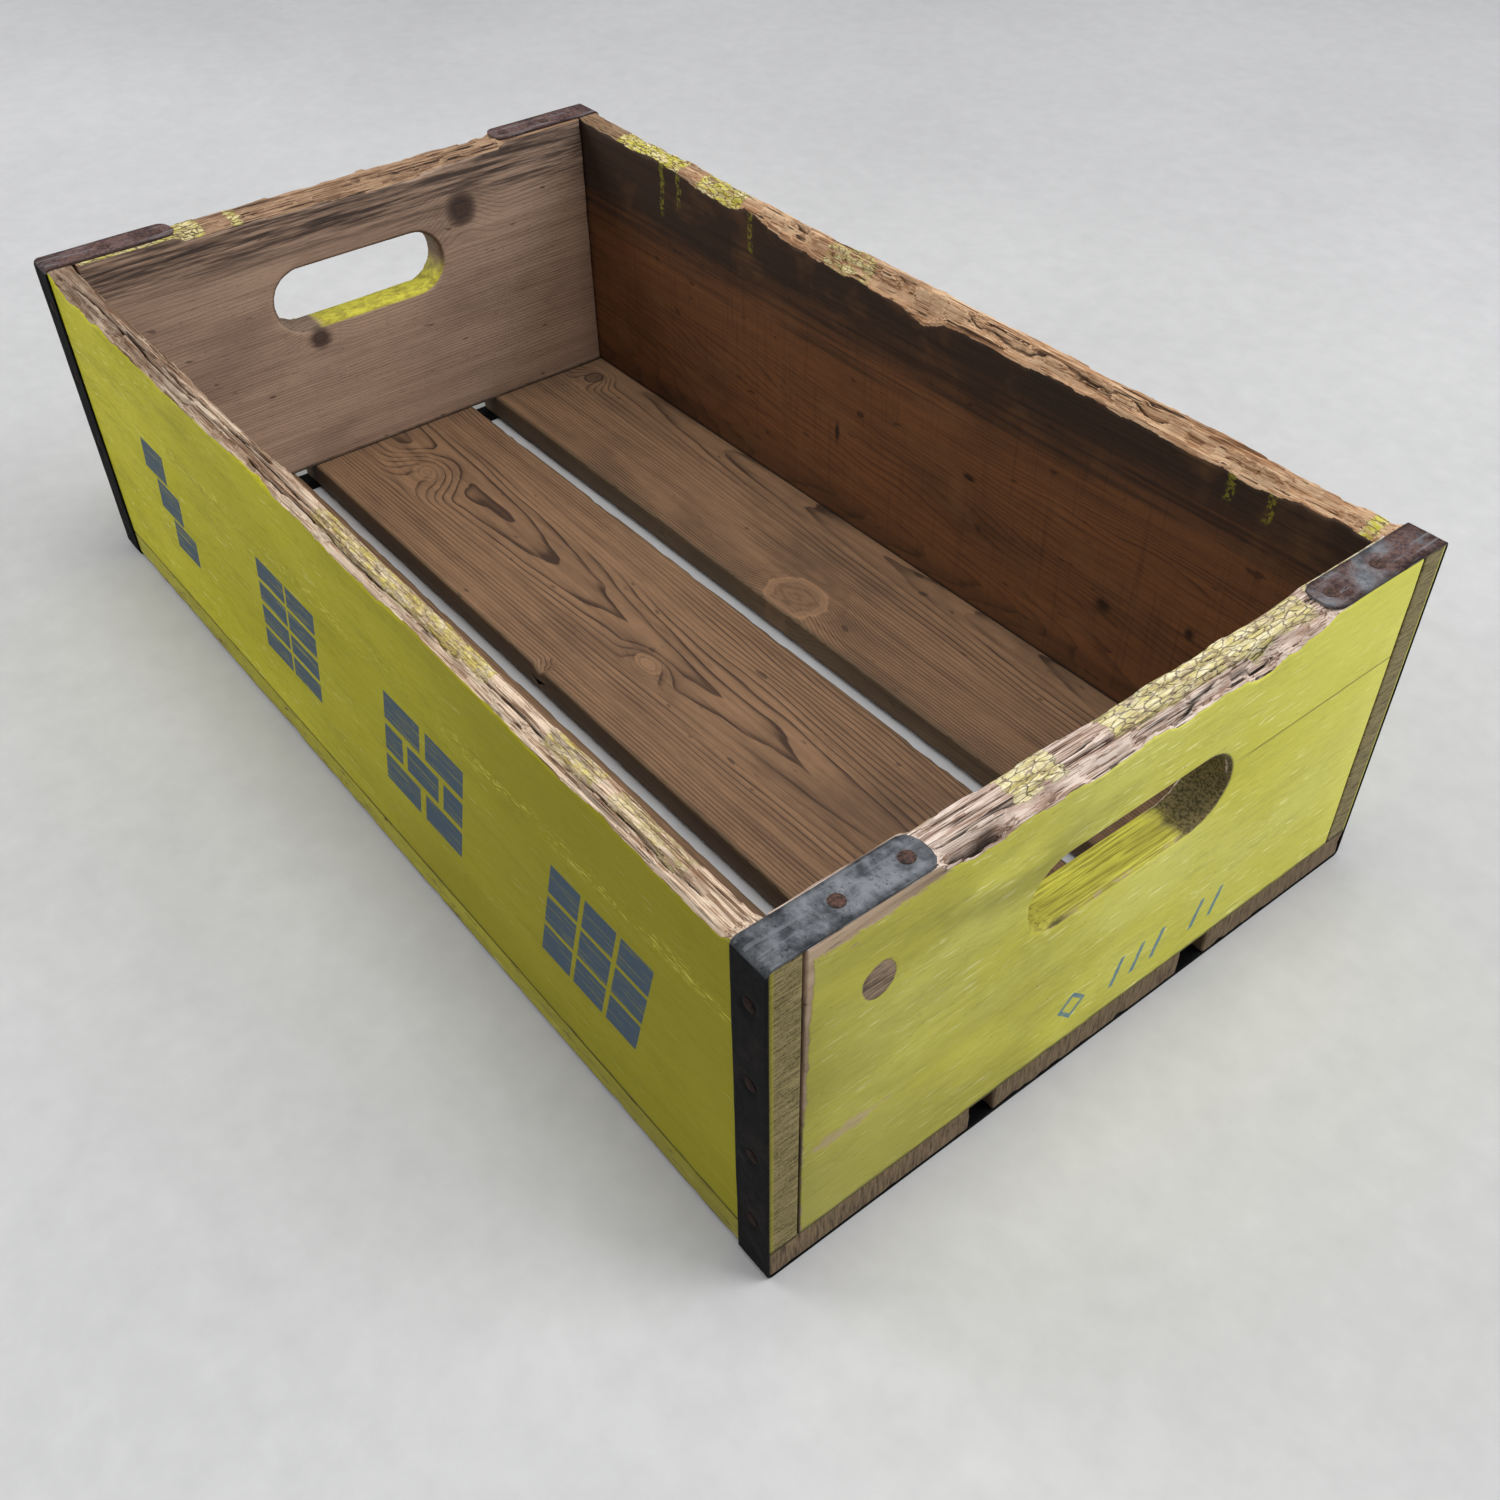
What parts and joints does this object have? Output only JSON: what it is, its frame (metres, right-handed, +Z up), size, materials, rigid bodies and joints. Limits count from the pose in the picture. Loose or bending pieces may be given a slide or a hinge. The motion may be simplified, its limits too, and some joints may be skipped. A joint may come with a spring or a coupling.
{
  "type": "milk bottle crate",
  "caption": "Shallow open-topped wooden crate for small milk bottles, with slatted floor, an obround hand slot in each end and nailed steel straps round both ends.",
  "frame": {"origin": "centre of the crate's footprint, on the plane that the undersides of the two straps stand on", "axes": "+X along the crate's length towards the right end, +Y across it towards the back side, +Z up to the open top"},
  "size_m": [0.59, 0.3344, 0.1734],
  "materials": {
    "painted_wood": "weathered yellow-green paint outside, bare brown wood inside and on the worn rims",
    "floor_wood": "bare aged softwood",
    "strap_steel": "dull galvanised hoop steel, part rusted",
    "nail_steel": "rusty wire nails"
  },
  "bodies": {
    "root": {"front_side_board": "painted_wood", "back_side_board": "painted_wood", "left_end_board": "painted_wood", "right_end_board": "painted_wood", "front_slat": "floor_wood", "middle_slat": "floor_wood", "back_slat": "floor_wood", "left_end_strap": "strap_steel", "right_end_strap": "strap_steel", "left_strap_front_leg_nails": "nail_steel", "left_strap_front_tab_nails": "nail_steel", "left_strap_back_leg_nails": "nail_steel", "left_strap_back_tab_nails": "nail_steel", "right_strap_front_leg_nails": "nail_steel", "right_strap_front_tab_nails": "nail_steel", "right_strap_back_leg_nails": "nail_steel", "right_strap_back_tab_nails": "nail_steel", "front_slat_left_nails": "nail_steel", "front_slat_right_nails": "nail_steel", "middle_slat_left_nails": "nail_steel", "middle_slat_right_nails": "nail_steel", "back_slat_left_nails": "nail_steel", "back_slat_right_nails": "nail_steel", "front_slat_side_nails": "nail_steel", "back_slat_side_nails": "nail_steel"}
  },
  "joints": []
}
